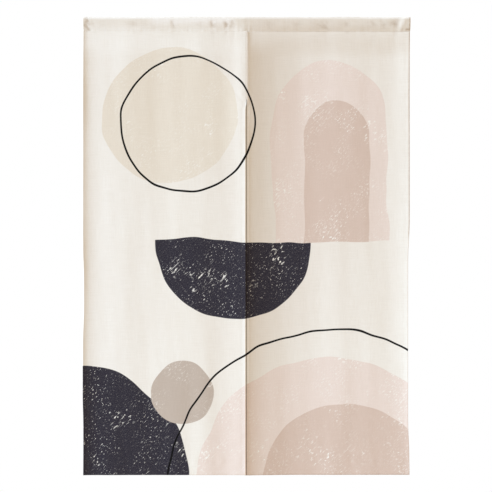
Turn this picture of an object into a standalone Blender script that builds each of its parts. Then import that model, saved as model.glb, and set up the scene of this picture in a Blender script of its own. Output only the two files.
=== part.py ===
"""A doorway curtain of two printed cloths, lapped and sewn together at the top, with one open rod pocket.

Metres, +Z up. The front faces -Y, and the origin is the middle of the curtain's top edge.
Three solids: the pocket that a rod slides through, and the two panels that hang below it.
"""

from collections import namedtuple

import bpy
import bmesh
import numpy as np

# The finished curtain
WIDTH = 0.856
DROP = 1.198
POCKET_DROP = 0.038  # from the top edge to the stitches under the pocket
SEWN_DROP = 0.216  # from the top edge to the top of the slit

# The cloth, and its hems, which are folded double
CLOTH = 0.0012
HEM_CLOTH = 0.0024
SIDE_HEM = 0.014
BOTTOM_HEM = 0.036
HEM_STEP = 0.0008  # width of the step at a hem's folded edge
GAP = 0.0003  # between pieces that touch

# The pocket's outline, seen from its end
POCKET_RADIUS = 0.0062  # round at the top, where it would hang on a slim rod
SEAM_HALF_DEPTH = 0.0022  # at the stitches
POCKET_FOLLOWS = 0.30  # the whole pocket follows this share of the folds under it
POCKET_LEVEL = 0.017  # and below this depth it follows more and more of them

# The sides: how far in from the full width each one hangs, by the drop from the top
Edge = namedtuple("Edge", "drop left_in right_in")
EDGES = (
    Edge(0.000, 0.0000, 0.0000),
    Edge(0.038, 0.0009, 0.0006),
    Edge(0.550, 0.0005, 0.0006),
    Edge(0.620, 0.0010, 0.0050),
    Edge(0.670, 0.0030, 0.0052),
    Edge(0.770, 0.0030, 0.0052),
    Edge(0.840, 0.0004, 0.0052),
    Edge(1.000, 0.0002, 0.0052),
    Edge(1.050, 0.0018, 0.0052),
    Edge(1.080, 0.0019, 0.0048),
    Edge(1.130, 0.0018, 0.0022),
    Edge(1.200, 0.0016, 0.0013),
)

# The lap in the middle: where each cloth's inner edge lies
LEFT_EDGE_SEWN = 0.0029
LEFT_EDGE_FREE = -0.0018
RIGHT_EDGE = -0.0050
FREE_OVER = 0.030  # the edge moves over along this length under the slit's top
LAP = 0.0055  # both cloths are level this far from the middle

# How the cloth stands forward of the pocket's middle plane, or behind it
RIDGE = 0.0050  # the left cloth's sewn edge stands forward as a soft ridge
LAP_DEPTH = 0.0030  # the right one's front lies this far behind the left one's
PARTED = 0.0020  # and comes this much further away below the slit's top
PART_OVER = 0.110
LAP_EASE = 0.0020  # how softly the folds start beside the lap
HANG_FROM = 0.40  # share of the folds that shows right under the pocket
HANG_OVER = 0.070  # all of it shows this far below

Panel = namedtuple("Panel", "name side longer base outer_curl outer_reach inner_reach colour")
LEFT = Panel("left_panel", -1, 0.0000, -0.0040, 0.0030, 0.018, 0.060, (0.887, 0.847, 0.799))
RIGHT = Panel("right_panel", 1, 0.0013, 0.0110, 0.0014, 0.018, 0.075, (0.823, 0.761, 0.680))
POCKET_COLOUR = (0.855, 0.806, 0.745)

# Soft folds: x at the top and at the hem, half width, and how far forward (minus is back)
Fold = namedtuple("Fold", "side top_x hem_x reach forward")
FOLDS = (
    Fold(-1, -0.040, -0.046, 0.050, -0.0026),
    Fold(-1, -0.215, -0.250, 0.060, -0.0007),
    Fold(-1, -0.320, -0.335, 0.055, 0.0008),
    Fold(1, 0.150, 0.175, 0.055, -0.0008),
    Fold(1, 0.262, 0.235, 0.060, 0.0009),
    Fold(1, 0.372, 0.385, 0.040, -0.0009),
)

# Puckers that the stitches draw into the pocket's front: x, half width, depth
Pucker = namedtuple("Pucker", "x reach depth")
PUCKERS = (
    Pucker(-0.419, 0.0040, 0.0010),
    Pucker(-0.193, 0.0060, 0.0006),
    Pucker(-0.088, 0.0080, 0.0007),
    Pucker(-0.055, 0.0050, 0.0012),
    Pucker(-0.034, 0.0040, 0.0008),
    Pucker(0.205, 0.0100, 0.0006),
    Pucker(0.262, 0.0080, 0.0006),
    Pucker(0.330, 0.0100, 0.0005),
    Pucker(0.389, 0.0070, 0.0009),
)
PUCKER_MIDDLE = 0.0205  # depth below the top edge, and half height
PUCKER_TALL = 0.0085

# How finely the solids follow their shapes
PANEL_COLUMNS = 24
HEM_COLUMNS = 4
PANEL_ROWS = 14
POCKET_STATIONS = 29
ARC_POINTS = 9
WALL_POINTS = 4


def smooth(share):
    """0 to 1 with level ends, from a share that may run past both."""
    share = np.clip(share, 0, 1)
    return share * share * (3 - 2 * share)


def hanging(z):
    """The share of the folds that shows at height z: small at the pocket, whole further down."""
    return HANG_FROM + (1 - HANG_FROM) * smooth((-z - POCKET_DROP) / HANG_OVER)


def outer_edge(panel, z):
    """x of the panel's outer edge at height z: straight lines between the table's drops."""
    drops = [edge.drop for edge in EDGES]
    drawn_in = [edge.left_in if panel is LEFT else edge.right_in for edge in EDGES]
    return panel.side * (WIDTH / 2 - np.interp(-z, drops, drawn_in))


def inner_edge(panel, z):
    """x of the panel's edge at the lap. The left one lies over the right one."""
    if panel is RIGHT:
        return RIGHT_EDGE + 0 * z
    freed = smooth((-z - SEWN_DROP) / FREE_OVER)
    return LEFT_EDGE_SEWN + (LEFT_EDGE_FREE - LEFT_EDGE_SEWN) * freed


def inner_depth(panel, z):
    """y of the front face at the lap: the right cloth lies just behind the left one, and parts below."""
    ridge = -RIDGE * hanging(z)
    if panel is LEFT:
        return ridge
    return ridge + LAP_DEPTH + PARTED * smooth((-z - SEWN_DROP) / PART_OVER)


def field_depth(panel, x, z):
    """y of the front face away from the lap: the level cloth, its folds and its outer curl."""
    down = -z / DROP
    y = panel.base + 0 * x
    for fold in FOLDS:
        if fold.side == panel.side:
            middle = fold.top_x + (fold.hem_x - fold.top_x) * down
            y = y - fold.forward * np.exp(-(((x - middle) / fold.reach) ** 2))
    from_edge = np.abs(outer_edge(panel, z) - x)
    y = y - panel.outer_curl * np.exp(-from_edge / panel.outer_reach)
    return y * hanging(z)


def near_lap(panel, x):
    """1 over the lap and smoothly to 0 away from it, on the right with a longer even slope first."""
    past = np.maximum(np.abs(x) - LAP, 0)
    led = (np.hypot(past, LAP_EASE) - LAP_EASE) / panel.inner_reach
    return np.exp(-led) if panel is LEFT else 1 - np.tanh(led)


def front(panel, x, z):
    """y of the panel's front face: its field, led smoothly into the level lap."""
    near = near_lap(panel, x)
    return near * inner_depth(panel, z) + (1 - near) * field_depth(panel, x, z) - SEAM_HALF_DEPTH


def cloth_material(name, colour):
    material = bpy.data.materials.new(name + "_cloth")
    material.use_nodes = True
    shader = material.node_tree.nodes["Principled BSDF"]
    shader.inputs["Base Color"].default_value = (*colour, 1)
    shader.inputs["Roughness"].default_value = 0.9
    shader.inputs["Metallic"].default_value = 0.0
    return material


def grid_object(name, columns, rows, colour, collection):
    """A flat grid of that many columns and rows of points, and each point's column and row."""
    bpy.ops.mesh.primitive_grid_add(x_subdivisions=columns - 1, y_subdivisions=rows - 1, size=1)
    grid = bpy.context.object
    grid.name = name
    grid.data.name = name
    grid.data.materials.append(cloth_material(name, colour))
    for holder in grid.users_collection:
        holder.objects.unlink(grid)
    collection.objects.link(grid)
    points = np.empty(len(grid.data.vertices) * 3)
    grid.data.vertices.foreach_get("co", points)
    points = points.reshape(-1, 3)
    column = np.rint((points[:, 0] + 0.5) * (columns - 1)).astype(int)
    row = np.rint((points[:, 1] + 0.5) * (rows - 1)).astype(int)
    return grid, column, row


def place(grid, x, y, z):
    """Moves the grid's points to where the cloth's front face hangs."""
    grid.data.vertices.foreach_set("co", np.column_stack([x, y, z]).ravel())
    grid.data.shade_smooth()
    grid.data.update()


def thicken(grid, thickness):
    """Gives the sheet its thickness behind its front face."""
    wall = grid.modifiers.new("cloth thickness", "SOLIDIFY")
    wall.thickness = thickness
    wall.offset = -1
    wall.use_even_offset = True
    return wall


def panel_columns():
    """Each column's distance in from its side, within the hem, and its share of the width between hems."""
    between = (1 - np.cos(np.linspace(0, np.pi, PANEL_COLUMNS))) / 2
    hem = np.linspace(0, SIDE_HEM - HEM_STEP, HEM_COLUMNS)
    inset = np.concatenate([hem, np.full(PANEL_COLUMNS, SIDE_HEM), hem[::-1]])
    share = np.concatenate([0 * hem, between, 0 * hem + 1])
    return inset, share


def panel_heights(panel):
    """Heights of the panel's rows, from the hem up: even ones, and those where an edge or a hem turns."""
    low = -DROP - panel.longer
    hem = [low, low + BOTTOM_HEM - HEM_STEP, low + BOTTOM_HEM]
    top = -POCKET_DROP - GAP
    slit = [-SEWN_DROP - FREE_OVER, -SEWN_DROP - FREE_OVER / 2, -SEWN_DROP]
    folds = [top - HANG_OVER, top - HANG_OVER / 2, top]
    turns = [-edge.drop for edge in EDGES if -edge.drop < top]
    even = np.linspace(hem[-1], top, PANEL_ROWS)
    heights = np.unique(np.round(np.concatenate([slit, folds, turns, even]), 4))
    return np.concatenate([hem, heights[heights > hem[-1] + HEM_STEP]])


def hanging_panel(panel, collection):
    """One panel: a grid hung in its folds, then made cloth, double at its hems."""
    inset, share = panel_columns()
    heights = panel_heights(panel)
    grid, column, row = grid_object(panel.name, len(share), len(heights), panel.colour, collection)
    z = heights[row]
    inset = inset[column]
    share = share[column]
    edges = np.sort([outer_edge(panel, z), inner_edge(panel, z)], axis=0)
    side = np.where(share < 0.5, edges[0] + inset, edges[1] - inset)
    between = edges[0] + SIDE_HEM + share * (edges[1] - edges[0] - 2 * SIDE_HEM)
    x = np.where(inset < SIDE_HEM, side, between)
    y = front(panel, x, z)
    place(grid, x, y, z)
    hems = grid.vertex_groups.new(name="hems")
    in_hem = np.flatnonzero((inset < SIDE_HEM) | (row < 2))
    hems.add(in_hem.tolist(), 1.0, "REPLACE")
    wall = thicken(grid, HEM_CLOTH)
    wall.vertex_group = hems.name
    wall.thickness_vertex_group = CLOTH / HEM_CLOTH
    return grid


def pocket_outline():
    """(y, z) round the pocket's outside, from the stitches up the front, over the top and down the back."""
    lean = np.arctan((POCKET_RADIUS - SEAM_HALF_DEPTH) / (POCKET_DROP - POCKET_RADIUS))
    angle = np.linspace(-lean, np.pi + lean, ARC_POINTS)
    arc = np.column_stack([-np.cos(angle), np.sin(angle) - 1]) * POCKET_RADIUS
    stitches = np.array([-SEAM_HALF_DEPTH, -POCKET_DROP])
    share = np.linspace(0, 1, WALL_POINTS, endpoint=False)[:, None]
    front_wall = stitches + share * (arc[0] - stitches)
    back_wall = front_wall[::-1] * (-1, 1)
    return np.concatenate([front_wall, arc, back_wall, front_wall[:1]])


def pocket_stations():
    """x of the pocket's cross-sections: even ones, and three at each pucker in place of those near it."""
    even = np.linspace(-WIDTH / 2, WIDTH / 2, POCKET_STATIONS)
    middles = np.array([pucker.x for pucker in PUCKERS])
    reaches = np.array([pucker.reach for pucker in PUCKERS])
    apart = np.abs(even[:, None] - middles) / reaches
    kept = (apart.min(axis=1) > 1.5) | (np.abs(even) == WIDTH / 2)
    at_puckers = np.concatenate([middles - reaches, middles, middles + reaches])
    inside = at_puckers[np.abs(at_puckers) < WIDTH / 2 - GAP]
    return np.sort(np.concatenate([even[kept], inside]))


def seam_depth(x):
    """y of the pocket's front at the stitches: each panel's own front, led smoothly across the lap."""
    z = np.full_like(x, -POCKET_DROP)
    over = smooth((x + 2 * LAP) / (4 * LAP))
    return (1 - over) * front(LEFT, np.minimum(x, 0), z) + over * front(RIGHT, np.maximum(x, 0), z)


def rod_pocket(collection):
    """The pocket: a grid bent round into a tube that follows the panels' folds, then made cloth."""
    outline = pocket_outline()
    stations = pocket_stations()
    grid, column, row = grid_object(
        "rod_pocket", len(stations), len(outline), POCKET_COLOUR, collection
    )
    ring = row % (len(outline) - 1)
    x = stations[column]
    y, z = outline[ring].T
    lower = np.clip((-z - POCKET_LEVEL) / (POCKET_DROP - POCKET_LEVEL), 0, 1) ** 2
    follows = POCKET_FOLLOWS + (1 - POCKET_FOLLOWS) * lower
    y = y + follows * (seam_depth(x) + SEAM_HALF_DEPTH)
    for pucker in PUCKERS:
        dent = pucker.depth * np.exp(-(((x - pucker.x) / pucker.reach) ** 2))
        dent = dent * np.exp(-(((-z - PUCKER_MIDDLE) / PUCKER_TALL) ** 2))
        y = y + dent * (ring <= WALL_POINTS)
    place(grid, x, y, z)
    shape = bmesh.new()
    shape.from_mesh(grid.data)
    bmesh.ops.remove_doubles(shape, verts=shape.verts, dist=GAP / 10)
    shape.to_mesh(grid.data)
    shape.free()
    thicken(grid, CLOTH)
    return grid


def main():
    for old in list(bpy.data.objects):
        bpy.data.objects.remove(old, do_unlink=True)
    curtain = bpy.data.collections.new("doorway_curtain")
    bpy.context.scene.collection.children.link(curtain)
    rod_pocket(curtain)
    for panel in (LEFT, RIGHT):
        hanging_panel(panel, curtain)


main()
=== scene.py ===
"""How the doorway curtain looks: two printed panels, lapped and sewn together, under one rod pocket."""

from collections import namedtuple

import bpy
import numpy as np
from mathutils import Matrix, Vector
from mathutils.bvhtree import BVHTree


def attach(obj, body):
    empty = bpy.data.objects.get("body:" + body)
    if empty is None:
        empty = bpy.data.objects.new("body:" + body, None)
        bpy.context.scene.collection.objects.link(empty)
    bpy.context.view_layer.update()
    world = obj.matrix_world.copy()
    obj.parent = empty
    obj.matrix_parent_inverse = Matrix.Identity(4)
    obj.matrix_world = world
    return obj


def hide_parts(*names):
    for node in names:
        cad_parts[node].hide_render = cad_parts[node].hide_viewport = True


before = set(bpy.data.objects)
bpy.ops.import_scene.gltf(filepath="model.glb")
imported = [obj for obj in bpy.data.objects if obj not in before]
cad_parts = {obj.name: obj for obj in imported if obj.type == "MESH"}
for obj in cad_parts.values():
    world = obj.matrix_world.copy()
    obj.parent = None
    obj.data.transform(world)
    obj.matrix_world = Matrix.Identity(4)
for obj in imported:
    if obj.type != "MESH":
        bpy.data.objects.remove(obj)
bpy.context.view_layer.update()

# The left panel: one width of cotton and linen cloth, hemmed down both sides and along the bottom.
# It hangs from the pocket's stitches, and its inner edge is lapped over the right panel's and sewn to
# it down to the top of the slit.

WIDTH = 0.856
DROP = 1.198
POCKET_DROP = 0.038  # from the top edge to the pocket's lower edge, just under its stitches
SEWN_DROP = 0.216  # from the top edge to the top of the slit
GAP = 0.0003

# The sides: how far in from the full width each one hangs, by the drop from the top
Edge = namedtuple("Edge", "drop left_in right_in")
EDGES = (
    Edge(0.000, 0.0000, 0.0000),
    Edge(0.038, 0.0009, 0.0006),
    Edge(0.550, 0.0005, 0.0006),
    Edge(0.620, 0.0010, 0.0050),
    Edge(0.670, 0.0030, 0.0052),
    Edge(0.770, 0.0030, 0.0052),
    Edge(0.840, 0.0004, 0.0052),
    Edge(1.000, 0.0002, 0.0052),
    Edge(1.050, 0.0018, 0.0052),
    Edge(1.080, 0.0019, 0.0048),
    Edge(1.130, 0.0018, 0.0022),
    Edge(1.200, 0.0016, 0.0013),
)
EDGE_OFFSETS = (-0.016, -0.008, 0, 0.008, 0.016)  # the places whose mean softens the table's corners

CLOTH = 0.0008  # thicknesses of the cloth and of its hems
HEM_CLOTH = 0.0017
SIDE_HEM = 0.014  # widths of the hems
BOTTOM_HEM = 0.036
HEM_STEP = 0.0006  # over which a hem ends
STITCH_INSET = 0.0017  # from a hem's inner fold to its stitches
STITCH_DENT = 0.00006  # how far they dent the cloth, and over what half width
STITCH_DENT_REACH = 0.0009
SEAM_HALF_DEPTH = 0.0022  # from the middle of the cloth in the pocket's seam to its front

LAP = 0.0055  # half width of the level lap
LAP_EASE = 0.002  # how softly the folds start beside it
LAP_DEPTH = 0.0023  # from the left panel's front to the right one's, in the lap
LAP_CALM = 0.012  # half widths round the lap where the cloth has no unevenness, and no low waves
LAP_STILL = 0.020
LEFT_EDGE_SEWN = 0.0029  # x of the left panel's inner edge above the slit and beside it
LEFT_EDGE_FREE = -0.0018
FREE_OVER = 0.030  # the length over which it goes from one to the other
RIGHT_EDGE = -0.0050  # x of the right panel's inner edge
RIDGE = 0.0050  # how far forward the lap hangs
PARTED = 0.0020  # how much further apart the panels hang below the slit's top
PART_OVER = 0.110
HANG_FROM = 0.40  # the share of the folds that shows right under the pocket
HANG_OVER = 0.070  # all of it shows this far below

# The left panel's inner edge turns back: a little across the lap, and more beside the slit, just past a bead
TURN_SEWN = 0.0003
TURN_FROM = -0.0040
TURN_OVER = 0.0070
TURN_FREE = 0.0009
TURN_REACH = 0.0010
TURN_START = 0.35  # the share of that turn at the slit's top
TURN_FREE_OVER = 0.012
BEAD = 0.0004
BEAD_INSET = 0.0017
BEAD_REACH = 0.0028

# The right panel swells forward in a low ridge beside the lap
BY_LAP = 0.0003
BY_LAP_PLACE = 0.0078
BY_LAP_REACH = 0.0024

# Each panel: its side of the middle, how much longer than the left one it is, and how far back it hangs.
# Its outer edge curls broadly back and rolls narrowly (minus is forward) as far down as rolled_to. Its
# folds start beside the lap over inner_reach, and its lowest and outer edges get painted shade of 0 or more
Panel = namedtuple(
    "Panel",
    "side longer base outer_curl outer_reach inner_reach roll roll_reach rolled_to low_dust side_dust",
)
LEFT = Panel(-1, 0.0000, -0.0040, 0.0030, 0.018, 0.060, -0.0011, 0.0034, 2.00, 0.4, 0.0)
RIGHT = Panel(1, 0.0013, 0.0110, 0.0014, 0.018, 0.075, 0.0011, 0.0012, 0.59, 1.2, 2.0)
ROLL_UNEVEN = 0.35  # the share by which the roll grows and shrinks, over these wavelengths
ROLL_LENGTHS = (0.34, 0.21, 0.55)
ROLL_ENDS_OVER = 0.04
EDGE_SHADE_REACH = 0.0021  # how far in from an edge the painted shade shows

# Soft folds: x at the top and at the hem, half width, and how far forward (minus is back)
Fold = namedtuple("Fold", "side top_x hem_x reach forward")
FOLDS = (
    Fold(-1, -0.040, -0.046, 0.050, -0.0026),
    Fold(-1, -0.215, -0.250, 0.060, -0.0007),
    Fold(-1, -0.320, -0.335, 0.055, 0.0008),
    Fold(1, 0.150, 0.175, 0.055, -0.0008),
    Fold(1, 0.262, 0.235, 0.060, 0.0009),
    Fold(1, 0.372, 0.385, 0.040, -0.0009),
)

# Puckers over and under the pocket's stitches: x, half width, depth, and how far down they can be followed
Pucker = namedtuple("Pucker", "x reach depth fall")
PUCKERS = (
    Pucker(-0.419, 0.0040, 0.0010, 0.030),
    Pucker(-0.292, 0.0090, 0.0003, 0.020),
    Pucker(-0.193, 0.0060, 0.0006, 0.035),
    Pucker(-0.088, 0.0080, 0.0007, 0.055),
    Pucker(-0.055, 0.0050, 0.0012, 0.030),
    Pucker(-0.034, 0.0040, 0.0008, 0.030),
    Pucker(0.060, 0.0090, 0.0003, 0.020),
    Pucker(0.128, 0.0090, 0.0003, 0.025),
    Pucker(0.205, 0.0100, 0.0006, 0.050),
    Pucker(0.262, 0.0080, 0.0006, 0.030),
    Pucker(0.330, 0.0100, 0.0005, 0.045),
    Pucker(0.389, 0.0070, 0.0009, 0.030),
)
PUCKER_BELOW = 0.25  # the share of its depth that a pucker has in the panel
PUCKER_FIRST = 0.25  # where its rise to that share stands at the stitches, and the length that it takes
PUCKER_RISE = 0.006
PUCKER_SPREAD = 0.12  # how much it widens for each metre down
PANEL_SHADE_DEPTH = 0.0012  # a pucker of this depth gets painted shade of PANEL_SHADE_SHARE
PANEL_SHADE_SHARE = 0.5
PANEL_SHADE_WIDTH = 0.7  # the painted shade's width and length, as shares of the pucker's
PANEL_SHADE_FALL = 0.4

# How a seam gathers the cloth: height, wavelengths along the seam, and how far beside it they reach
Gathers = namedtuple("Gathers", "height lengths reach")
POCKET_GATHERS = Gathers(0.00006, (0.011, 0.017, 0.029), 0.008)
SIDE_GATHERS = Gathers(0.00008, (0.019, 0.031, 0.053), 0.011)
HEM_GATHERS = Gathers(0.00010, (0.023, 0.037, 0.061), 0.012)
SLIT_TOP_GATHERS = Gathers(0.00012, (0.024, 0.017), 0.050)
SLIT_TOP_TALL = 0.030
SLIT_TOP_SLANT = 0.8
LOW_WAVES = Gathers(0.0004, (0.083, 0.142), 0.16)
INNER_SHIFT = 0.31  # where the waves start on the inner hems and on each bottom hem, so that none are alike
HEM_SHIFT = 0.1
WAVE_TURN = 1.7  # radians by which each further sine of a wave is turned

# The cloth's slight unevenness: height, wavelengths across and down, and start. The two finer ripples
# swell and fade over the lengths that follow
Ripple = namedtuple("Ripple", "height across down start")
RIPPLES = (
    Ripple(0.00010, 0.093, 0.90, 0.4),
    Ripple(0.00008, 0.061, -1.30, 2.1),
    Ripple(0.00004, 0.034, 0.41, 0.0),
)
MIDDLE_SWELL = 0.8
FINE_SWELL = 0.57

# Where a surface has points: steps in the open cloth, and places in from a folded edge and by the stitches
COLUMN_STEP = 0.0036
ROW_STEP = 0.0038
RIM = np.array([0, 0.00005, 0.0002, 0.0005, 0.0010])
INSIDE_RIM = np.array([0.0017, 0.0025, 0.0034, 0.0045, 0.0060])
ROUND_STITCHES = np.array([-0.0016, -0.0008, 0, 0.0008])

STITCH = 0.0032  # from the start of one stitch to the next
STITCH_SHARES = np.array([0.02, 0.20, 0.66, 0.84])  # where its thread comes up, lies flat and goes down
THREAD = 0.00016  # the thread's radius
THREAD_TAPER = np.array([0.6, 1, 1, 0.6])  # its share of that radius at those places
THREAD_LIFT = np.array([-1.1, 0.5, 0.5, -1.1])  # how many radii its middle lies above the cloth
SEARCH_FROM = 0.1  # well in front of the cloth, or behind it
RUN_DROP = 0.0022  # from the pocket's lower edge to the panels' first stitch
RUN_END = 0.002  # from the last stitch to the cloth's edge, at least
LAP_SEAM = -0.0036  # x of the seam through the lap
TACK = 0.0024  # from one stitch to the next in the bar at the slit's top, between these ends
TACK_ENDS = (-0.0045, 0.0028)
TACK_ROWS = 5
TACK_ROW_STEP = 0.0005


def smooth(share):
    """3 s^2 - 2 s^3, with s held between 0 and 1."""
    share = np.clip(share, 0, 1)
    return share * share * (3 - 2 * share)


def bell(x, middle, reach):
    """exp(-((x - middle) / reach)^2)."""
    return np.exp(-(((x - middle) / reach) ** 2))


def wander(t, lengths):
    """An uneven wave of about 1: sines of those wavelengths, summed, over the root of their number."""
    waves = [np.sin(2 * np.pi * t / length + WAVE_TURN * turn) for turn, length in enumerate(lengths)]
    return sum(waves) / len(waves) ** 0.5


def gathered(gathers, t):
    """The gathers' height along their seam: that many metres times the uneven wave."""
    return gathers.height * wander(t, gathers.lengths)


def hanging(z):
    """The share of the folds that shows at height z: part of it at the pocket, whole further down."""
    return HANG_FROM + (1 - HANG_FROM) * smooth((-z - POCKET_DROP) / HANG_OVER)


def rolling(panel, z):
    """The share of the outer edge's roll and painted shade that shows at height z: whole, led to 0 at
    rolled_to.
    """
    return smooth((z + panel.rolled_to) / ROLL_ENDS_OVER)


def outer_edge(panel, z):
    """x of the panel's outer edge: half the width, less the mean of the table along a short piece of it."""
    drops = [edge.drop for edge in EDGES]
    drawn_in = [edge.left_in if panel is LEFT else edge.right_in for edge in EDGES]
    nearby = [np.interp(-z + offset, drops, drawn_in) for offset in EDGE_OFFSETS]
    return panel.side * (WIDTH / 2 - sum(nearby) / len(nearby))


def inner_edge(panel, z):
    """x of the panel's edge at the lap: past the middle where it is sewn, and just short of it below."""
    if panel is RIGHT:
        return RIGHT_EDGE + 0 * z
    freed = smooth((-z - SEWN_DROP) / FREE_OVER)
    return LEFT_EDGE_SEWN + (LEFT_EDGE_FREE - LEFT_EDGE_SEWN) * freed


def hung_depth(panel, x, z):
    """y of the front face in its main folds: base and bells away from the lap, led into the level lap.

    The lead is exp(-d / reach) on the left and 1 - tanh(d / reach) on the right, of the distance d past
    the lap, with a soft start.
    """
    down = -z / DROP
    y = panel.base + 0 * x
    for fold in FOLDS:
        if fold.side == panel.side:
            middle = fold.top_x + (fold.hem_x - fold.top_x) * down
            y = y - fold.forward * bell(x, middle, fold.reach)
    from_edge = np.abs(outer_edge(panel, z) - x)
    y = y - panel.outer_curl * np.exp(-from_edge / panel.outer_reach)
    lap = -RIDGE + 0 * z
    if panel is RIGHT:
        lap = lap + LAP_DEPTH / hanging(z) + PARTED * smooth((-z - SEWN_DROP) / PART_OVER)
    past = np.maximum(np.abs(x) - LAP, 0)
    led = (np.hypot(past, LAP_EASE) - LAP_EASE) / panel.inner_reach
    near = np.exp(-led) if panel is LEFT else 1 - np.tanh(led)
    return (near * lap + (1 - near) * y) * hanging(z) - SEAM_HALF_DEPTH


def stitch_pull(panel, x, z):
    """How far the seams, hems and edges draw the front face in and out, as y to add to the main folds.

    A wave, a pucker, a roll or a dent fades by a bell or exp(-d / reach) of the distance d from its seam
    or edge, and the turn of the sewn lap is a smooth step across it.
    """
    under = -z - POCKET_DROP
    below_slit = -z - SEWN_DROP
    from_outer = np.abs(outer_edge(panel, z) - x)
    from_inner = np.abs(x - inner_edge(panel, z))
    from_hem = z + DROP + panel.longer
    y = gathered(POCKET_GATHERS, x) * np.exp(-under / POCKET_GATHERS.reach)
    for pucker in PUCKERS:
        fade = np.exp(-under / pucker.fall) * smooth(under / PUCKER_RISE + PUCKER_FIRST)
        width = pucker.reach + PUCKER_SPREAD * under
        y = y + PUCKER_BELOW * pucker.depth * fade * bell(x, pucker.x, width)
    rolled = panel.roll * (1 + ROLL_UNEVEN * wander(z, ROLL_LENGTHS)) * rolling(panel, z)
    y = y + rolled * np.exp(-from_outer / panel.roll_reach)
    for distance, shift in ((from_outer, 0), (from_inner, INNER_SHIFT)):
        y = y + gathered(SIDE_GATHERS, z + shift) * bell(distance, SIDE_HEM, SIDE_GATHERS.reach)
        y = y + STITCH_DENT * bell(distance, SIDE_HEM - STITCH_INSET, STITCH_DENT_REACH)
    y = y + gathered(HEM_GATHERS, x + HEM_SHIFT * panel.side) * bell(from_hem, BOTTOM_HEM, HEM_GATHERS.reach)
    y = y + STITCH_DENT * bell(from_hem, BOTTOM_HEM - STITCH_INSET, STITCH_DENT_REACH)
    y = y + gathered(LOW_WAVES, x) * np.exp(-from_hem / LOW_WAVES.reach) * (1 - bell(x, 0, LAP_STILL))
    slit_top = bell(x, 0, SLIT_TOP_GATHERS.reach) * bell(-z, SEWN_DROP, SLIT_TOP_TALL)
    y = y + slit_top * gathered(SLIT_TOP_GATHERS, x + SLIT_TOP_SLANT * z)
    if panel is RIGHT:
        return y - BY_LAP * bell(x, BY_LAP_PLACE, BY_LAP_REACH)
    freed = smooth(below_slit / TURN_FREE_OVER)
    sewn = TURN_SEWN * smooth((x - TURN_FROM) / TURN_OVER)
    free = TURN_FREE * smooth(below_slit / PART_OVER + TURN_START) * bell(from_inner, 0, TURN_REACH)
    bead = BEAD * bell(from_inner, BEAD_INSET, BEAD_REACH)
    return y + (1 - freed) * sewn + freed * (free - bead)


def uneven(x, z):
    """The cloth's slight unevenness: three sines, much steeper across than down, two of them swelling."""
    broad, middle, fine = (
        ripple.height * np.sin(2 * np.pi * (x / ripple.across + z / ripple.down) + ripple.start)
        for ripple in RIPPLES
    )
    middle = middle * np.sin(2 * np.pi * z / MIDDLE_SWELL)
    fine = fine * np.sin(2 * np.pi * (z / FINE_SWELL + x))
    return broad + middle + fine


def front_depth(panel, x, z):
    """y of the panel's front face: its folds, the pull of its seams, and its unevenness away from the lap."""
    away = 1 - bell(x, 0, LAP_CALM)
    return hung_depth(panel, x, z) + stitch_pull(panel, x, z) + uneven(x, z) * away


def rounded(distance, radius):
    """A quarter circle: 0 at a folded edge, and 1 from the fold's radius on."""
    return np.sqrt(1 - (1 - np.clip(distance / radius, 0, 1)) ** 2)


def surface_normals(points):
    """The cross product of the steps to the right and up, made one long."""
    along = np.gradient(points, axis=1)
    up = np.gradient(points, axis=0)
    normal = np.cross(along, up)
    return normal / np.linalg.norm(normal, axis=-1, keepdims=True)


def cloth_object(name, face, thickness, roundness, uv, turned_uv, turned, shade):
    """A closed sheet of cloth behind a grid of points on its printed face, rows up and columns to the right.

    Both sides lie at thickness / 2 times roundness from the middle, along the normal, so that they meet
    round the rim. uv is the printed face's, and turned_uv replaces it on the back where turned says that
    a hem shows. The face attribute reverse is 1 where the cloth's unprinted side shows, and the point
    attribute shade says how much painted shade darkens it, mostly in creases and along edges.
    """
    normal = surface_normals(face)
    middle = face - normal * thickness[..., None] / 2
    swell = normal * (thickness * roundness)[..., None] / 2
    rows, columns = thickness.shape
    printed = np.arange(rows * columns).reshape(rows, columns)
    behind = printed.copy()
    behind[1:-1, 1:-1] = printed.size + np.arange((rows - 2) * (columns - 2)).reshape(rows - 2, -1)
    points = np.concatenate([(middle + swell).reshape(-1, 3), (middle - swell)[1:-1, 1:-1].reshape(-1, 3)])

    def corners(grid):
        around = (grid[:-1, :-1], grid[:-1, 1:], grid[1:, 1:], grid[1:, :-1])
        return np.stack(around, axis=2).reshape(-1, 4, *grid.shape[2:])

    quads = np.concatenate([corners(printed), corners(behind)[:, ::-1]])
    hem = turned.reshape(-1, 1, 1)
    back_uv = np.where(hem, corners(turned_uv), corners(uv))
    all_uv = np.concatenate([corners(uv), back_uv[:, ::-1]])
    reverse = np.concatenate([np.zeros(hem.size), 1 - hem.ravel()])
    made = mesh_object(name, points, quads)
    made.data.uv_layers.new(name="cloth").uv.foreach_set("vector", all_uv.ravel())
    made.data.attributes.new("reverse", "FLOAT", "FACE").data.foreach_set("value", reverse)
    shaded = np.zeros(len(points))
    shaded[: printed.size] = shade.ravel()
    made.data.attributes.new("shade", "FLOAT", "POINT").data.foreach_set("value", shaded)
    return made


def mesh_object(name, points, quads):
    """A smooth object of four-cornered faces."""
    mesh = bpy.data.meshes.new(name)
    mesh.vertices.add(len(points))
    mesh.vertices.foreach_set("co", points.ravel())
    mesh.loops.add(quads.size)
    mesh.loops.foreach_set("vertex_index", quads.ravel())
    mesh.polygons.add(len(quads))
    mesh.polygons.foreach_set("loop_start", np.arange(len(quads)) * 4)
    mesh.update(calc_edges=True)
    mesh.shade_smooth()
    made = bpy.data.objects.new(name, mesh)
    bpy.context.scene.collection.objects.link(made)
    return made


def steps_between(first, last, step):
    """Even places from first to last, both left out, about a step apart."""
    count = int(round(abs(last - first) / step)) + 1
    return np.linspace(first, last, count)[1:-1]


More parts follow.
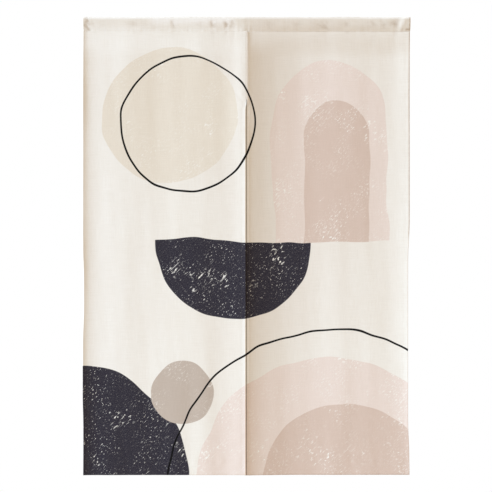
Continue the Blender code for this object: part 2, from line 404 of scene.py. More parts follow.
def hem_places(hem):
    """Where points lie across a hem: round its folded edge, over its stitches and its inner fold."""
    stitches = hem - STITCH_INSET + ROUND_STITCHES
    between = steps_between(INSIDE_RIM[-1], stitches[0], COLUMN_STEP)
    return np.concatenate([RIM, INSIDE_RIM, between, stitches, [hem - HEM_STEP, hem]])


def in_hem(distance, hem):
    """1 within a hem of that width and 0 past it, led from one to the other over HEM_STEP."""
    return 1 - smooth((distance - hem + HEM_STEP) / HEM_STEP)


def at_faces(grid):
    """The value in the middle of each face: the mean of two opposite corners."""
    return (grid[:-1, :-1] + grid[1:, 1:]) / 2


def panel_grid(panel):
    """x and z of the panel's points: columns from edge to edge and rows from its hem up to the pocket."""
    hem = hem_places(SIDE_HEM)
    between = steps_between(0, 1, COLUMN_STEP / (WIDTH / 2 - 2 * SIDE_HEM))
    inset = np.concatenate([hem, 0 * between, hem[::-1]])
    share = np.concatenate([0 * hem, between, 0 * hem + 1])
    top = -POCKET_DROP - GAP / 2
    low = -DROP - panel.longer
    plain = steps_between(low + BOTTOM_HEM, top - RIM[-1], ROW_STEP)
    z = np.concatenate([low + hem_places(BOTTOM_HEM), plain, top - RIM[::-1]])[:, None]
    edges = np.sort([outer_edge(panel, z), inner_edge(panel, z)], axis=0)
    x = edges[0] + SIDE_HEM + share * (edges[1] - edges[0] - 2 * SIDE_HEM)
    x = np.where(share == 0, edges[0] + inset, x)
    x = np.where(share == 1, edges[1] - inset, x)
    return x, z + 0 * x


def panel_shade(panel, x, z):
    """How much painted shade darkens the puckers under the pocket and the panel's lowest and outer edges."""
    under = -z - POCKET_DROP
    dust = 0 * z
    for pucker in PUCKERS:
        fade = np.exp(-under / (PANEL_SHADE_FALL * pucker.fall)) * pucker.depth / PANEL_SHADE_DEPTH
        dust = dust + PANEL_SHADE_SHARE * fade * bell(x, pucker.x, PANEL_SHADE_WIDTH * pucker.reach)
    dust = dust + panel.low_dust * bell(z + DROP + panel.longer, 0, EDGE_SHADE_REACH)
    from_outer = np.abs(outer_edge(panel, z) - x)
    return dust + panel.side_dust * bell(from_outer, 0, EDGE_SHADE_REACH) * rolling(panel, z)


def panel_object(panel, name):
    """The panel on its front face's depth, thicker in its hems, which show the print turned round behind."""
    x, z = panel_grid(panel)
    face = np.stack([x, front_depth(panel, x, z), z], axis=-1)
    edges = np.sort([outer_edge(panel, z), inner_edge(panel, z)], axis=0)
    from_side = np.minimum(x - edges[0], edges[1] - x)
    low = -DROP - panel.longer
    from_hem = z - low
    folded = np.maximum(in_hem(from_side, SIDE_HEM), in_hem(from_hem, BOTTOM_HEM))
    thickness = CLOTH + (HEM_CLOTH - CLOTH) * folded
    roundness = rounded(from_side, thickness / 2) * rounded(from_hem, thickness / 2)
    roundness = roundness * rounded(-POCKET_DROP - GAP / 2 - z, thickness / 2)
    uv = np.stack([x + WIDTH / 2, -z], axis=-1)
    near_edge = np.where(x - edges[0] < edges[1] - x, edges[0], edges[1]) + WIDTH / 2
    turned_uv = np.where(
        (from_side <= SIDE_HEM)[..., None],
        np.stack([2 * near_edge - uv[..., 0], uv[..., 1]], axis=-1),
        np.stack([uv[..., 0], -2 * low - uv[..., 1]], axis=-1),
    )
    nearest = np.minimum(at_faces(x - edges[0]), at_faces(edges[1] - x))
    turned = (nearest < SIDE_HEM - HEM_STEP) | (at_faces(from_hem) < BOTTOM_HEM - HEM_STEP)
    # Painted shade in the puckers under the pocket and along the lowest and outer edges
    dust = panel_shade(panel, x, z)
    return cloth_object(name, face, thickness, roundness, uv, turned_uv, turned, dust)


def stitches_object(name, cloth, runs):
    """Machine stitches: a six-sided thread from each place of a run to the next, its ends sunk in the cloth.

    A run is the x and z of its places, and the side that it shows on, -1 for the front.
    """
    tree = BVHTree.FromObject(cloth, bpy.context.evaluated_depsgraph_get())
    found = []
    for x, z, side in runs:
        places = np.column_stack([x + 0 * z, z + 0 * x])
        on_way = places[:-1, None] + np.diff(places, axis=0)[:, None] * STITCH_SHARES[:, None]
        for across, up in on_way.reshape(-1, 2):
            found.append(tree.ray_cast((across, side * SEARCH_FROM, up), (0, -side, 0))[:2])
    centre, outward = np.array(found).reshape(-1, 4, 2, 3).transpose(2, 0, 1, 3)
    along = centre[:, 3:] - centre[:, :1]
    along = along / np.linalg.norm(along, axis=-1, keepdims=True)
    beside = np.cross(along, outward)
    beside = beside / np.linalg.norm(beside, axis=-1, keepdims=True)
    rising = np.cross(beside, along)
    angle = (np.arange(6) * np.pi / 3)[:, None]
    ring = np.cos(angle) * rising[:, :, None] + np.sin(angle) * beside[:, :, None]
    lifted = centre + rising * THREAD_LIFT[:, None] * THREAD
    points = lifted[:, :, None] + THREAD * THREAD_TAPER[:, None, None] * ring
    row, corner = np.arange(3)[:, None] * 6, np.arange(6)
    onward = (corner + 1) % 6
    bands = np.stack([row + corner, row + onward, row + 6 + onward, row + 6 + corner], axis=-1)
    # Each stitch has four rings of six points: the first ring starts at point 0, and the last one at 18
    near_end = np.array([[3, 2, 1, 0], [5, 4, 3, 0]])
    quads = np.concatenate([bands.reshape(-1, 4), near_end, near_end[:, ::-1] + 18])
    each_stitch = np.arange(len(points))[:, None, None] * 24
    made = mesh_object(name, points.reshape(-1, 3), (quads + each_stitch).reshape(-1, 4))
    reverse = np.repeat(outward[:, 0, 1] > 0, len(quads)).astype(float)
    made.data.attributes.new("reverse", "FLOAT", "FACE").data.foreach_set("value", reverse)
    return made


def hem_runs(panel):
    """The runs of stitches along the panel's three hems, on its front and its back."""
    low = -DROP - panel.longer
    z = np.arange(-POCKET_DROP - RUN_DROP, low + RUN_END, -STITCH)
    inset = SIDE_HEM - STITCH_INSET
    outer = outer_edge(panel, z) - panel.side * inset
    inner = inner_edge(panel, z) + panel.side * inset
    hem_z = low + BOTTOM_HEM - STITCH_INSET
    ends = np.sort([outer_edge(panel, hem_z), inner_edge(panel, hem_z)])
    x = np.arange(ends[0] + RUN_END, ends[1] - RUN_END, STITCH)
    return [run for side in (-1, 1) for run in ((outer, z, side), (inner, z, side), (x, hem_z, side))]


def lap_runs(side):
    """The seam through the lap, and the short bar of stitches across it at the slit's top."""
    down = np.arange(-POCKET_DROP - RUN_DROP, -SEWN_DROP, -STITCH)
    across = np.arange(*TACK_ENDS, TACK)
    bar = [(across, -SEWN_DROP + TACK_ROW_STEP * row, side) for row in range(TACK_ROWS)]
    return [(LAP_SEAM, down, side), *bar]


def srgb(red, green, blue):
    """A screen colour of 0 to 255 as the light that it stands for."""
    screen = np.array([red, green, blue]) / 255
    light = np.where(screen > 0.04045, ((screen + 0.055) / 1.055) ** 2.4, screen / 12.92)
    return (*(float(part) for part in light), 1.0)


class Term:
    """A shader value in an expression: each operator adds one Math node."""

    def __init__(self, graph, socket):
        self.graph = graph
        self.socket = socket

    def math(self, operation, *values):
        return self.graph.add("ShaderNodeMath", {"operation": operation}, values)

    def __add__(self, other):
        return self.math("ADD", self, other)

    def __sub__(self, other):
        return self.math("SUBTRACT", self, other)

    def __rsub__(self, other):
        return self.math("SUBTRACT", other, self)

    def __mul__(self, other):
        return self.math("MULTIPLY", self, other)

    def __abs__(self):
        return self.math("ABSOLUTE", self)

    __radd__ = __add__
    __rmul__ = __mul__

    def least(self, other):
        return self.math("MINIMUM", self, other)

    def most(self, other):
        return self.math("MAXIMUM", self, other)

    def root(self):
        return self.math("SQRT", self)

    def wave(self):
        return self.math("SINE", self)

    def between(self, low, high):
        """0 at low and 1 at high, in a straight line, and level past both."""
        sockets = {"Value": self, "From Min": low, "From Max": high}
        return self.graph.add("ShaderNodeMapRange", {"clamp": True}, sockets)

    def band(self, start, whole, ebbing, end):
        """0 up to start, 1 from whole to ebbing, and 0 again from end on."""
        return self.between(start, whole) * (1.0 - self.between(ebbing, end))


class Finish:
    """A material whose nodes are added one by one."""

    def __init__(self, name):
        self.material = bpy.data.materials.new(name)
        self.material.use_nodes = True
        self.tree = self.material.node_tree
        self.shader = self.tree.nodes["Principled BSDF"]

    def add(self, kind, settings=None, sockets=(), output=0):
        """One node: its settings, then its sockets' values or links by name or place. Gives an output."""
        node = self.tree.nodes.new(kind)
        for setting, value in (settings or {}).items():
            setattr(node, setting, value)
        named = sockets.items() if isinstance(sockets, dict) else enumerate(sockets)
        for place, value in named:
            self.join(node.inputs[place], value)
        return Term(self, node.outputs[output])

    def join(self, socket, value):
        """Links a term to the socket, or sets the socket to a value."""
        if isinstance(value, Term):
            self.tree.links.new(value.socket, socket)
        else:
            socket.default_value = value

    def mix(self, share, first, second, blend="MIX"):
        """The first colour at share 0 and the second, or the blend of both, at 1.

        The colours' own sockets are 6 and 7, and output 2, because the node has others of the same names.
        """
        settings = {"data_type": "RGBA", "blend_type": blend}
        return self.add("ShaderNodeMix", settings, {0: share, 6: first, 7: second}, output=2)

    def noise(self, place, scale, detail=2.0):
        """Noise between 0 and 1, mostly near a half, at that many waves a metre."""
        sockets = {"Vector": place, "Scale": scale, "Detail": detail}
        return self.add("ShaderNodeTexNoise", {}, sockets)

    def patches(self, place, patch):
        """Soft patches of 1 on 0: noise, stretched between the patch's two limits."""
        return self.noise(place, patch.scale, patch.detail).between(patch.low, patch.high)

    def parts(self, vector, *wanted):
        """The wanted parts of a vector: 0 is x or u, 1 is y or v, and 2 is z."""
        return (self.add("ShaderNodeSeparateXYZ", {}, [vector], output=part) for part in wanted)

    def attribute(self, name):
        """The mesh's own numbers of that name."""
        return self.add("ShaderNodeAttribute", {"attribute_name": name}, output=2)

    def place(self, *parts):
        """A vector of up to three terms or numbers."""
        return self.add("ShaderNodeCombineXYZ", {}, parts)

    def bump(self, height, distance):
        """A normal from a height of 0 to 1 that stands for that distance."""
        sockets = {"Strength": 1.0, "Distance": distance, "Height": height}
        return self.add("ShaderNodeBump", {}, sockets)


CREAM = srgb(243, 238, 231)
CREAM_MOTTLE = srgb(241, 235, 227)
CREAM_PALE = srgb(246, 242, 237)  # toward the left edge
CREAM_SHADED = srgb(236, 228, 219)  # painted shade: a darker cream on the right panel, and beside the lap
CREAM_LIT = srgb(254, 252, 251)  # painted light: a strip beside the slit, and the pocket's upper front
BEIGE = srgb(234, 224, 210)
BLUSH = srgb(234, 218, 209)
DEEP_BLUSH = srgb(216, 194, 181)
TAUPE = srgb(196, 181, 169)
CHARCOAL = srgb(43, 39, 51)
INK = srgb(12, 10, 10)
BARED = srgb(250, 246, 240)  # the cloth where the print has worn off
REVERSE = srgb(238, 233, 225)
SHADE_TINT = srgb(220, 211, 202)  # painted shade: what it leaves of the cloth's own colour where it is whole
# painted shade: the dark line in the slit, where the left panel's edge shades the right one
SLIT_SHADE_COLOUR = srgb(52, 44, 36)
YARN_DULL = srgb(247, 246, 244)  # what a dull and a bright yarn leave of it
YARN_BRIGHT = srgb(255, 255, 255)

# The print's motifs, in metres to the right of the left edge (u) and down from the top (v)
Disc = namedtuple("Disc", "u v radius")
Arch = namedtuple("Arch", "u top half foot")
UPPER_DISC = Disc(0.228, 0.262, 0.176)
UPPER_RING = Disc(0.276, 0.286, 0.176)
OUTER_ARCH = Arch(0.648, 0.118, 0.150, 0.585)
INNER_ARCH = Arch(0.664, 0.222, 0.088, 0.585)
HALF_DISC = Disc(0.390, 0.585, 0.205)
CORNER_DISC = Disc(-0.020, 1.215, 0.300)
SMALL_DISC = Disc(0.262, 0.985, 0.082)
OUTER_HILL = Disc(0.640, 1.235, 0.345)
INNER_HILL = Disc(0.690, 1.225, 0.215)
LOWER_RING = Disc(0.640, 1.235, 0.415)
LINE = 0.0050  # the drawn lines' width
PRINT_EDGE = 0.0006  # half the soft width of a motif's edge
HAND_WAVES = 4.5  # waves a metre in the motifs' outlines, and how far they move them
HAND_REACH = 0.050

# Where the cream changes: (start, whole) or (start, whole, ebbing, end) across, down, or across and down
PALE_ENDS = (0.08, 0.26)
PALE_SHARE = 0.6
# Painted shade: a darker cream over the right panel, less toward its foot and its right edge, and in a fold
# left of the lap
SHADED_STARTS = (0.40, 0.46)
SHADED_ENDS_LOW = (1.15, 1.75)
SHADED_EBBS = (0.66, 0.80)
SHADED_LOST = 0.6  # the share of the painted shade that is gone toward the right edge
LAP_SHADED = (0.30, 0.385, 0.392, 0.42)
LAP_SHADED_SHARE = 0.65
LIT_STRIP_PLACE = 0.4316  # painted light on the lap's shadow, right of the lap: its middle, where it ends and is whole beside that, and its share
LIT_STRIP_ENDS = (0.0032, 0.0012)
LIT_STRIP_START = (0.0, 0.001)
LIT_STRIP_SHARE = 0.7
# Painted light on the pocket's rounded upper front, where the light from above falls: down, across, and its
# share
LIT_CREST_DOWN = (0.0035, 0.0075, 0.012, 0.026)
LIT_CREST_ACROSS = (0.165, 0.185, 0.385, 0.400)
LIT_CREST_SHARE = 0.8

# Marks in the print that lie aslant: their number a metre along both slants, the noise's start and detail,
# and its limits
Mark = namedtuple("Mark", "rising falling start detail low high")
SPECKS = Mark(110.0, 260.0, 0.0, 2.0, 0.64, 0.69)
SCRATCHES = Mark(18.0, 240.0, 7.0, 2.0, 0.64, 0.71)
CHIPS = Mark(60.0, 110.0, 4.0, 3.0, 0.60, 0.64)
RUBS = Mark(90.0, 200.0, 9.0, 2.0, 0.56, 0.68)

# Soft patches: their number a metre, the noise's detail, and its limits
Patch = namedtuple("Patch", "scale detail low high")
MOTTLE = Patch(7.0, 2.0, 0.30, 0.70)
CLUSTERS = Patch(14.0, 3.0, 0.44, 0.60)  # where specks lie close
BURSTS = Patch(11.0, 2.0, 0.57, 0.65)  # where scratches and chips are
WORN = Patch(6.0, 2.0, 0.38, 0.54)  # where the light inks are worn most
PIN_HOLES = Patch(650.0, 1.0, 0.50, 0.85)
# Painted shade is broken into these patches
CREASE_SHADE_PATCHES = Patch(80.0, 5.0, 0.22, 0.66)
SCATTERED = 0.15  # the share of the specks that lies outside the clusters
WORN_ELSEWHERE = 0.3  # the share of that wear outside those patches
RUB_SHARE = 0.6  # how much of the cloth a rub bares
HEAVY_HOLES = 0.14  # how much the pin holes show in charcoal and in the light inks
LIGHT_HOLES = 0.08
FAINT = 0.8  # the share of the wear that shows in the inks nearest to cream

WEAVE = 0.00075  # from one thread to the next
YARNS = 900.0  # yarns a metre, and thick places a metre along one
SLUBS = 22.0
YARN_TONES = (0.35, 0.65)  # the noise of the dullest and the brightest ones
WEAVE_DRIFT = 2.0  # radians by which thick yarns push the weave aside
WEAVE_SHARE = 0.35  # the weave's part in the relief, beside the yarns'
WEAVE_RELIEF = 0.00012
SLIT_SHADE_PLACE = 0.4276  # painted shade as a dark line in the slit: its middle, where it ends and is whole beside that
SLIT_SHADE_ENDS = (0.00092, 0.00052)
SLIT_SHADE_START = (0.0, 0.002)
SLIT_SHADE_SHARE = 0.74
SHOWN_BEHIND = 0.22  # how much of the print shows through on the unprinted side


def print_colour(finish, uv):
    """The worn print's colour at places in metres to the right of the left edge and down from the top.

    The cream ground is mixed from its tones, with painted shade over the right panel and in a fold left of
    the lap, and painted light right of the lap and on the pocket's rounded top. Each motif covers what
    lies under it where its distance is below 0, and wear bares the cloth in it. A noise moves the motifs'
    outlines as an uneven hand would.
    """
    raw_u, raw_v = finish.parts(uv, 0, 1)
    u = raw_u + (finish.noise(uv, HAND_WAVES) - 0.5) * HAND_REACH
    v = raw_v + (finish.noise(finish.place(raw_v, raw_u, 3.0), HAND_WAVES) - 0.5) * HAND_REACH
    rising, falling = raw_u - raw_v, raw_u + raw_v

    def disc(shape):
        return ((u - shape.u) * (u - shape.u) + (v - shape.v) * (v - shape.v)).root() - shape.radius

    def arch(shape):
        above = (v - (shape.top + shape.half)).least(0.0)
        round_top = ((u - shape.u) * (u - shape.u) + above * above).root() - shape.half
        return round_top.most(v - shape.foot)

    def ring(shape):
        return abs(disc(shape)) - LINE / 2

    def marks(mark):
        place = finish.place(rising * mark.rising, falling * mark.falling, mark.start)
        return finish.noise(place, 1.0, mark.detail).between(mark.low, mark.high)

    clusters = finish.patches(uv, CLUSTERS)
    bursts = finish.patches(uv, BURSTS)
    worn_here = finish.patches(uv, WORN) * (1 - WORN_ELSEWHERE) + WORN_ELSEWHERE
    holes = finish.patches(uv, PIN_HOLES)
    flecks = marks(SPECKS) * (clusters * (1 - SCATTERED) + SCATTERED)
    flecks = flecks + (marks(SCRATCHES) + marks(CHIPS)) * bursts
    rubbed = marks(RUBS) * clusters * RUB_SHARE
    heavy = (flecks + holes * HEAVY_HOLES).least(1.0)
    light = ((flecks + rubbed) * worn_here + holes * LIGHT_HOLES).least(1.0)
    motifs = (
        (disc(UPPER_DISC), BEIGE, light * FAINT),
        (arch(OUTER_ARCH), BLUSH, light),
        (arch(INNER_ARCH), DEEP_BLUSH, light),
        (disc(OUTER_HILL), BLUSH, light),
        (disc(INNER_HILL), DEEP_BLUSH, light),
        (disc(HALF_DISC).most(HALF_DISC.v - v), CHARCOAL, heavy),
        (disc(CORNER_DISC), CHARCOAL, heavy),
        (disc(SMALL_DISC), TAUPE, light * FAINT),
        (ring(UPPER_RING), INK, 0.0),
        (ring(LOWER_RING), INK, 0.0),
    )

    colour = finish.mix(finish.patches(uv, MOTTLE), CREAM, CREAM_MOTTLE)
    colour = finish.mix(PALE_SHARE - raw_u.between(*PALE_ENDS) * PALE_SHARE, colour, CREAM_PALE)
    # Painted shade in the cream over the right panel and in a fold left of the lap
    painted_shade_ground = raw_u.between(*SHADED_STARTS) * (1.0 - falling.between(*SHADED_ENDS_LOW))
    painted_shade_ground = painted_shade_ground * (1.0 - raw_u.between(*SHADED_EBBS) * SHADED_LOST)
    painted_shade_ground = painted_shade_ground + raw_u.band(*LAP_SHADED) * LAP_SHADED_SHARE
    colour = finish.mix(painted_shade_ground.least(1.0), colour, CREAM_SHADED)
    # Painted light: a strip right of the lap below the pocket, and the pocket's rounded upper front
    lit_strip = abs(raw_u - LIT_STRIP_PLACE).between(*LIT_STRIP_ENDS) * (raw_v - POCKET_DROP).between(*LIT_STRIP_START)
    lit_crest = raw_v.band(*LIT_CREST_DOWN) * raw_u.band(*LIT_CREST_ACROSS)
    colour = finish.mix(lit_strip * LIT_STRIP_SHARE + lit_crest * LIT_CREST_SHARE, colour, CREAM_LIT)
    bared = 0.0
    for distance, ink, worn in motifs:
        cover = distance.between(PRINT_EDGE, -PRINT_EDGE)
        colour = finish.mix(cover, colour, ink)
        bared = bared * (1.0 - cover) + cover * worn
    return finish.mix(bared, colour, BARED)


def printed_cloth(name):
    """The printed cloth: the print, painted shade in creases and along edges, and a painted dark line in the
    slit, on a plain weave.

    The weave's relief is the product of two sines, one across and one down, with the yarns' own noise.
    """
    finish = Finish(name)
    uv = finish.add("ShaderNodeUVMap", {"uv_map": "cloth"})
    raw_u, raw_v = finish.parts(uv, 0, 1)
    reverse = finish.attribute("reverse")
    # Painted shade from the attribute shade: creases, puckers, the pocket's front and top fold, and the
    # lowest and right edges
    painted_shade_amount = (finish.attribute("shade") * finish.patches(uv, CREASE_SHADE_PATCHES)).least(1.0).most(0.0)
    colour = print_colour(finish, uv)
    colour = finish.mix(painted_shade_amount, colour, finish.mix(1.0, colour, SHADE_TINT, "MULTIPLY"))
    # Painted shade: a dark line down the slit, beside the left panel's edge
    slit_shade = abs(raw_u - SLIT_SHADE_PLACE).between(*SLIT_SHADE_ENDS) * (raw_v - SEWN_DROP).between(*SLIT_SHADE_START)
    colour = finish.mix(slit_shade * (1.0 - reverse) * SLIT_SHADE_SHARE, colour, SLIT_SHADE_COLOUR)
    colour = finish.mix(reverse * (1 - SHOWN_BEHIND), colour, REVERSE)
    down_yarns = finish.noise(finish.place(raw_u * YARNS, raw_v * SLUBS, 0.0), 1.0)
    across_yarns = finish.noise(finish.place(raw_u * SLUBS, raw_v * YARNS, 5.0), 1.0)
    yarns = (down_yarns + across_yarns) * 0.5
    tone = finish.mix(yarns.between(*YARN_TONES), YARN_DULL, YARN_BRIGHT)
    warp = (raw_u * (np.pi / WEAVE) + down_yarns * WEAVE_DRIFT).wave()
    weft = (raw_v * (np.pi / WEAVE) + across_yarns * WEAVE_DRIFT).wave()
    relief = warp * weft * WEAVE_SHARE + yarns
    finish.join(finish.shader.inputs["Base Color"], finish.mix(1.0, colour, tone, "MULTIPLY"))
    finish.join(finish.shader.inputs["Roughness"], 0.82 + yarns * 0.14)
    finish.join(finish.shader.inputs["Normal"], finish.bump(relief, WEAVE_RELIEF))
    finish.shader.inputs["Specular IOR Level"].default_value = 0.12
    finish.shader.inputs["Sheen Weight"].default_value = 0.05
    finish.shader.inputs["Sheen Roughness"].default_value = 0.5
    return finish.material


THREAD_DULL = srgb(229, 221, 209)
THREAD_BRIGHT = srgb(245, 240, 232)
THREAD_SHOWN = 0.12  # how much of the thread's own colour shows in the print
THREAD_TONES = 90.0  # changes of tone a metre
TWIST = 0.00035  # from one turn of the thread to the next, and its relief
TWIST_RELIEF = 0.00003


def sewing_thread(name):
    """Off-white cotton thread, twisted, that took the print with the cloth and is plain at the back."""
    finish = Finish(name)
    place = finish.add("ShaderNodeTexCoord", output=3)
    x, z = finish.parts(place, 0, 2)
    tone = finish.noise(place, THREAD_TONES, 3.0)
    plain = finish.mix(tone, THREAD_DULL, THREAD_BRIGHT)
    printed = print_colour(finish, finish.place(x + WIDTH / 2, 0.0 - z))
    shown = THREAD_SHOWN + finish.attribute("reverse") * (1 - THREAD_SHOWN)
    twist = ((x + z) * (2 * np.pi / TWIST)).wave() * 0.5 + 0.5
    finish.join(finish.shader.inputs["Base Color"], finish.mix(shown, printed, plain))
    finish.join(finish.shader.inputs["Roughness"], 0.62 + tone * 0.25)
    finish.join(finish.shader.inputs["Normal"], finish.bump(twist, TWIST_RELIEF))
    return finish.material


cloth = printed_cloth("printed_cloth")
thread = sewing_thread("sewing_thread")
left = panel_object(LEFT, "left_cloth")
left.data.materials.append(cloth)
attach(left, "root")
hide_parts("left_panel")

left_stitches = stitches_object("left_stitches", left, hem_runs(LEFT) + lap_runs(-1))
left_stitches.data.materials.append(thread)
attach(left_stitches, "root")

# The right panel: cut and hemmed like the left one, with its inner edge behind the left one's, and
# hanging a little further back, so that the slit shows as a shaded line, which painted shade makes darker.

right = panel_object(RIGHT, "right_cloth")
right.data.materials.append(cloth)
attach(right, "root")
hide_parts("right_panel")

right_stitches = stitches_object("right_stitches", right, hem_runs(RIGHT) + lap_runs(1))
right_stitches.data.materials.append(thread)
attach(right_stitches, "root")

# The rod pocket: the top of the cloth, folded over to the back and stitched down, open at both ends
# for a rod. The raw edge is turned under at the back, and the ends are hemmed like the panels' sides.

POCKET_RADIUS = 0.0062
POCKET_FOLLOWS = 0.30  # the share of the seam's folds that the whole pocket follows
POCKET_LEVEL = 0.017  # it follows more of them from here down
POCKET_SEAM = -POCKET_DROP + 0.0018  # z of its stitches
POCKET_COLUMN_STEP = 0.0025
POCKET_WALL_STEP = 0.075  # as a share of its front wall's height
POCKET_WALL = 0.030  # that height, roughly, for the points round its rim
SIDE_PULL = 0.0008  # the stitches draw each end in by this much
TOP_UNEVEN = 0.0004  # how far the top edge rises and falls, over these wavelengths
TOP_LENGTHS = (0.21, 0.13, 0.34)
PUCKER_MIDDLE = 0.0205  # below the top edge
PUCKER_TALL = 0.0085
PUCKER_LEAN = 0.12
PUCKER_FRONT = 0.35  # the share of its depth that a pucker has in the pocket's front
PUCKER_SHADE_DEPTH = 0.0011  # one of this depth gets painted shade of 1
FRONT_SHADE = 0.13  # painted shade in the pocket's front, and how unevenly, over these wavelengths
FRONT_SHADE_UNEVEN = 0.09
FRONT_SHADE_LENGTHS = (0.147, 0.061, 0.037)
FRONT_SHADE_TOP = (0.007, 0.008)  # where it starts, down from the top edge, and the length that it takes
FRONT_SHADE_LOW = (0.036, 0.004)  # where it ends
TOP_SHADE = 0.65  # painted shade on the fold at the very top
TOP_SHADE_REACH = 0.0035
# Creases in the pocket's front: ends, half width, depth (minus stands out), and painted shade (minus takes
# some away)
Crease = namedtuple("Crease", "x1 drop1 x2 drop2 reach depth dust")
CREASES = (
    Crease(-0.419, 0.004, -0.412, 0.020, 0.0038, 0.0003, 1.2),
    Crease(-0.422, 0.024, -0.412, 0.035, 0.0036, 0.0004, 1.3),
    Crease(-0.403, 0.012, -0.399, 0.030, 0.0036, 0.0002, 0.25),
    Crease(-0.197, 0.012, -0.192, 0.026, 0.0032, 0.0002, 0.4),
    Crease(-0.092, 0.015, -0.090, 0.028, 0.0044, 0.0003, 0.45),
    Crease(-0.050, 0.020, -0.060, 0.036, 0.0026, 0.0002, 0.5),
    Crease(-0.038, 0.013, -0.040, 0.027, 0.0032, 0.0002, 0.5),
    Crease(0.186, 0.020, 0.214, 0.033, 0.0035, 0.0002, 0.4),
    Crease(0.352, 0.012, 0.362, 0.026, 0.0050, 0.0002, 0.3),
    Crease(0.380, 0.016, 0.396, 0.011, 0.0070, 0.0004, 0.45),
    Crease(0.405, 0.031, 0.413, 0.008, 0.0075, -0.0007, -0.4),
    Crease(0.407, 0.036, 0.408, 0.030, 0.0022, 0.0002, 0.9),
    Crease(0.418, 0.033, 0.425, 0.033, 0.0026, 0.0002, 1.3),
    Crease(0.4265, 0.000, 0.4265, 0.036, 0.0016, 0.0002, 0.9),
)


def seam_depth(x):
    """y of the pocket's front at its stitches: each panel's own front, led smoothly across the lap."""
    z = np.full_like(x, -POCKET_DROP)
    over = smooth((x + 2 * LAP) / (4 * LAP))
    left_front = front_depth(LEFT, np.minimum(x, 0), z)
    right_front = front_depth(RIGHT, np.maximum(x, 0), z)
    return (1 - over) * left_front + over * right_front


def near_line(crease, x, drop):
    """exp(-(d / reach)^2) of the distance d to the crease's straight line between its ends."""
    along = np.array([crease.x2 - crease.x1, crease.drop2 - crease.drop1])
    share = ((x - crease.x1) * along[0] + (drop - crease.drop1) * along[1]) / (along @ along)
    share = np.clip(share, 0, 1)
    aside = np.hypot(x - crease.x1 - share * along[0], drop - crease.drop1 - share * along[1])
    return bell(aside, 0, crease.reach)


def pocket_profile():
    """y and z round the pocket's outside, from the stitches up the front, over the top and down the back."""
    lean = np.arctan((POCKET_RADIUS - SEAM_HALF_DEPTH) / (POCKET_DROP - POCKET_RADIUS))
    angle = np.linspace(-lean, np.pi + lean, 25)
    arc = np.column_stack([-np.cos(angle), np.sin(angle) - 1]) * POCKET_RADIUS
    low = np.array([-SEAM_HALF_DEPTH, -POCKET_DROP])
    rim = RIM / POCKET_WALL
    share = np.concatenate([rim, steps_between(rim[-1], 1, POCKET_WALL_STEP)])[:, None]
    wall = low + share * (arc[0] - low)
    back = wall[::-1] * (-1, 1)
    return np.concatenate([wall, arc, back])


def pocket_shade(x, z):
    """How much painted shade darkens the pocket's front: all over, on the fold at the top, in puckers and in
    creases.
    """
    dust = FRONT_SHADE + FRONT_SHADE_UNEVEN * wander(x, FRONT_SHADE_LENGTHS)
    (top, top_over), (low, low_over) = FRONT_SHADE_TOP, FRONT_SHADE_LOW
    dust = dust * smooth((-z - top) / top_over) * smooth((low + z) / low_over)
    dust = dust + TOP_SHADE * bell(z, 0, TOP_SHADE_REACH)
    dust = dust + sum(pucker_depth(pucker, x, z) for pucker in PUCKERS) / PUCKER_SHADE_DEPTH
    return dust + sum(crease.dust * near_line(crease, x, -z) for crease in CREASES)


def pucker_depth(pucker, x, z):
    """The pucker's depth times a bell across it, which leans, and a bell up and down."""
    across = bell(x - PUCKER_LEAN * (-z - PUCKER_MIDDLE), pucker.x, pucker.reach)
    return pucker.depth * across * bell(-z, PUCKER_MIDDLE, PUCKER_TALL)


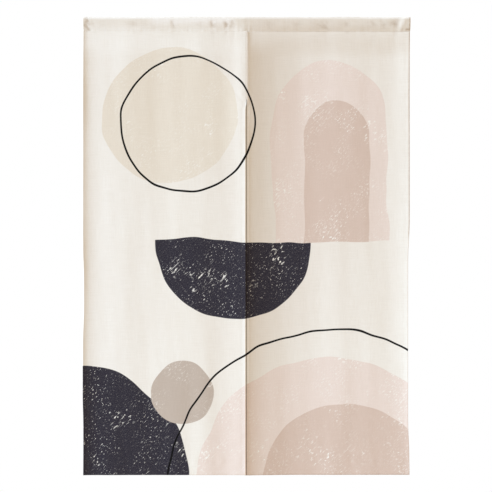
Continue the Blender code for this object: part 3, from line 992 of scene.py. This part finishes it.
def pocket_object(name):
    """The pocket: its profile carried along x, drawn in at its stitches, puckered and creased in front."""
    hem = hem_places(SIDE_HEM)
    plain = steps_between(-WIDTH / 2 + SIDE_HEM, WIDTH / 2 - SIDE_HEM, POCKET_COLUMN_STEP)
    x = np.concatenate([hem - WIDTH / 2, plain, WIDTH / 2 - hem[::-1]])[None, :]
    profile = pocket_profile()
    y, z = (profile[:, part, None] + 0 * x for part in (0, 1))
    x = x + 0 * y
    front_share = smooth(0.5 - y / POCKET_RADIUS)
    lower = np.clip((-z - POCKET_LEVEL) / (POCKET_DROP - POCKET_LEVEL), 0, 1) ** 2
    follows = POCKET_FOLLOWS + (1 - POCKET_FOLLOWS) * lower
    closing = (1 - front_share) * lower * (2 * SEAM_HALF_DEPTH - HEM_CLOTH)
    y = y + follows * (seam_depth(x) + SEAM_HALF_DEPTH) - closing
    pressed = PUCKER_FRONT * sum(pucker_depth(pucker, x, z) for pucker in PUCKERS)
    pressed = pressed + sum(crease.depth * near_line(crease, x, -z) for crease in CREASES)
    y = y + pressed * front_share
    near_seam = np.exp(-(z + POCKET_DROP) / POCKET_GATHERS.reach)
    y = y + gathered(POCKET_GATHERS, x) * near_seam * (2 * front_share - 1)
    # Painted shade on the pocket's printed front only
    dust = pocket_shade(x, z) * front_share
    z = z + smooth(1 + z / POCKET_RADIUS) * TOP_UNEVEN * (wander(x, TOP_LENGTHS) - 1)
    from_side = WIDTH / 2 - np.abs(x)
    x = x - SIDE_PULL * lower * x / (WIDTH / 2)
    thickness = CLOTH + (HEM_CLOTH - CLOTH) * in_hem(from_side, SIDE_HEM)
    step = np.hypot(*np.diff(profile, axis=0).T)
    length = np.concatenate([[0], np.cumsum(step)])[:, None]
    from_rim = np.minimum(length, length[-1] - length)
    roundness = rounded(from_side, thickness / 2) * rounded(from_rim, thickness / 2)
    uv = np.stack([x + WIDTH / 2, POCKET_DROP - length + 0 * x], axis=-1)
    turned_uv = np.stack([2 * np.where(x < 0, 0, WIDTH) - uv[..., 0], uv[..., 1]], axis=-1)
    turned = at_faces(from_side) < SIDE_HEM - HEM_STEP
    face = np.stack([x, y, z], axis=-1)
    return cloth_object(name, face, thickness, roundness, uv, turned_uv, turned, dust)


pocket = pocket_object("pocket_cloth")
pocket.data.materials.append(cloth)
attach(pocket, "root")
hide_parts("rod_pocket")

stitch_x = np.arange(-WIDTH / 2 + RUN_END, WIDTH / 2 - RUN_END, STITCH)
stitch_runs = [(stitch_x, POCKET_SEAM, side) for side in (-1, 1)]
pocket_stitches = stitches_object("pocket_stitches", pocket, stitch_runs)
pocket_stitches.data.materials.append(thread)
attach(pocket_stitches, "root")

# The floor, the light and the camera: a pale floor well below the hem, a soft light from the left and
# above, a weaker one from behind, warm light from all round, and a long lens straight in front.

FLOOR_DROP = 2.05
FLOOR_FORWARD = 0.2
FLOOR_SIZE = 5
FLOOR_DULL = srgb(214, 207, 196)
FLOOR_BRIGHT = srgb(224, 217, 206)
FLOOR_PATCHES = Patch(3.0, 4.0, 0.30, 0.70)
SUN_SPREAD = 20  # degrees across, for soft shadows
KEY_COLOUR = (0.575, 0.78, 1.0)
BACK_COLOUR = (1.0, 0.98, 0.95)
FILL_LIGHT = (0.66, 0.55, 0.43, 1)  # the light from all round
BACKDROP = (1.0, 1.0, 1.0, 1)  # what the camera sees of it
PIXEL = 0.0026158  # metres that one of the photograph's pixels spans at the cloth
PHOTO_WIDTH = 492
LENS = 120.0
PHOTO_MIDDLE = (-0.0018, 0, -0.5995)  # the place on the curtain in the photograph's middle

floor_finish = Finish("pale_floor")
floor_place = floor_finish.add("ShaderNodeTexCoord", output=3)
floor_tone = floor_finish.patches(floor_place, FLOOR_PATCHES)
floor_colour = floor_finish.mix(floor_tone, FLOOR_DULL, FLOOR_BRIGHT)
floor_finish.join(floor_finish.shader.inputs["Base Color"], floor_colour)
floor_finish.join(floor_finish.shader.inputs["Roughness"], 0.7 + floor_tone * 0.2)
bpy.ops.mesh.primitive_plane_add(size=FLOOR_SIZE, location=(0, -FLOOR_FORWARD, -FLOOR_DROP))
floor = bpy.context.object
floor.name = "floor"
floor.data.materials.append(floor_finish.material)


def aimed(name, data, start, target):
    """A light or camera at start that looks at target."""
    made = bpy.data.objects.new(name, data)
    bpy.context.scene.collection.objects.link(made)
    made.location = start
    made.rotation_euler = (Vector(target) - Vector(start)).to_track_quat("-Z", "Y").to_euler()
    return made


def soft_sun(name, azimuth, height, strength, colour):
    """A broad light from far off: degrees round from the curtain's front to its left, and degrees up."""
    turn, rise = np.radians([azimuth, height])
    data = bpy.data.lights.new(name, "SUN")
    data.angle = np.radians(SUN_SPREAD)
    data.energy = strength
    data.color = colour
    level = np.cos(rise)
    return aimed(name, data, (-level * np.sin(turn), -level * np.cos(turn), np.sin(rise)), (0, 0, 0))


soft_sun("key", azimuth=77, height=20, strength=7.45, colour=KEY_COLOUR)
soft_sun("back", azimuth=215, height=35, strength=1.2, colour=BACK_COLOUR)

world = bpy.data.worlds.new("studio")
bpy.context.scene.world = world
world.use_nodes = True
nodes, links = world.node_tree.nodes, world.node_tree.links
seen = nodes.new("ShaderNodeLightPath")
chosen = nodes.new("ShaderNodeMix")
chosen.data_type = "RGBA"
chosen.inputs[6].default_value = FILL_LIGHT
chosen.inputs[7].default_value = BACKDROP
links.new(seen.outputs["Is Camera Ray"], chosen.inputs[0])
links.new(chosen.outputs[2], nodes["Background"].inputs["Color"])

bpy.context.scene.view_settings.view_transform = "Standard"
lens = bpy.data.cameras.new("camera")
lens.lens = LENS
away = PIXEL * PHOTO_WIDTH * LENS / lens.sensor_width
camera = aimed("camera", lens, (PHOTO_MIDDLE[0], -away, PHOTO_MIDDLE[2]), PHOTO_MIDDLE)
bpy.context.scene.camera = camera
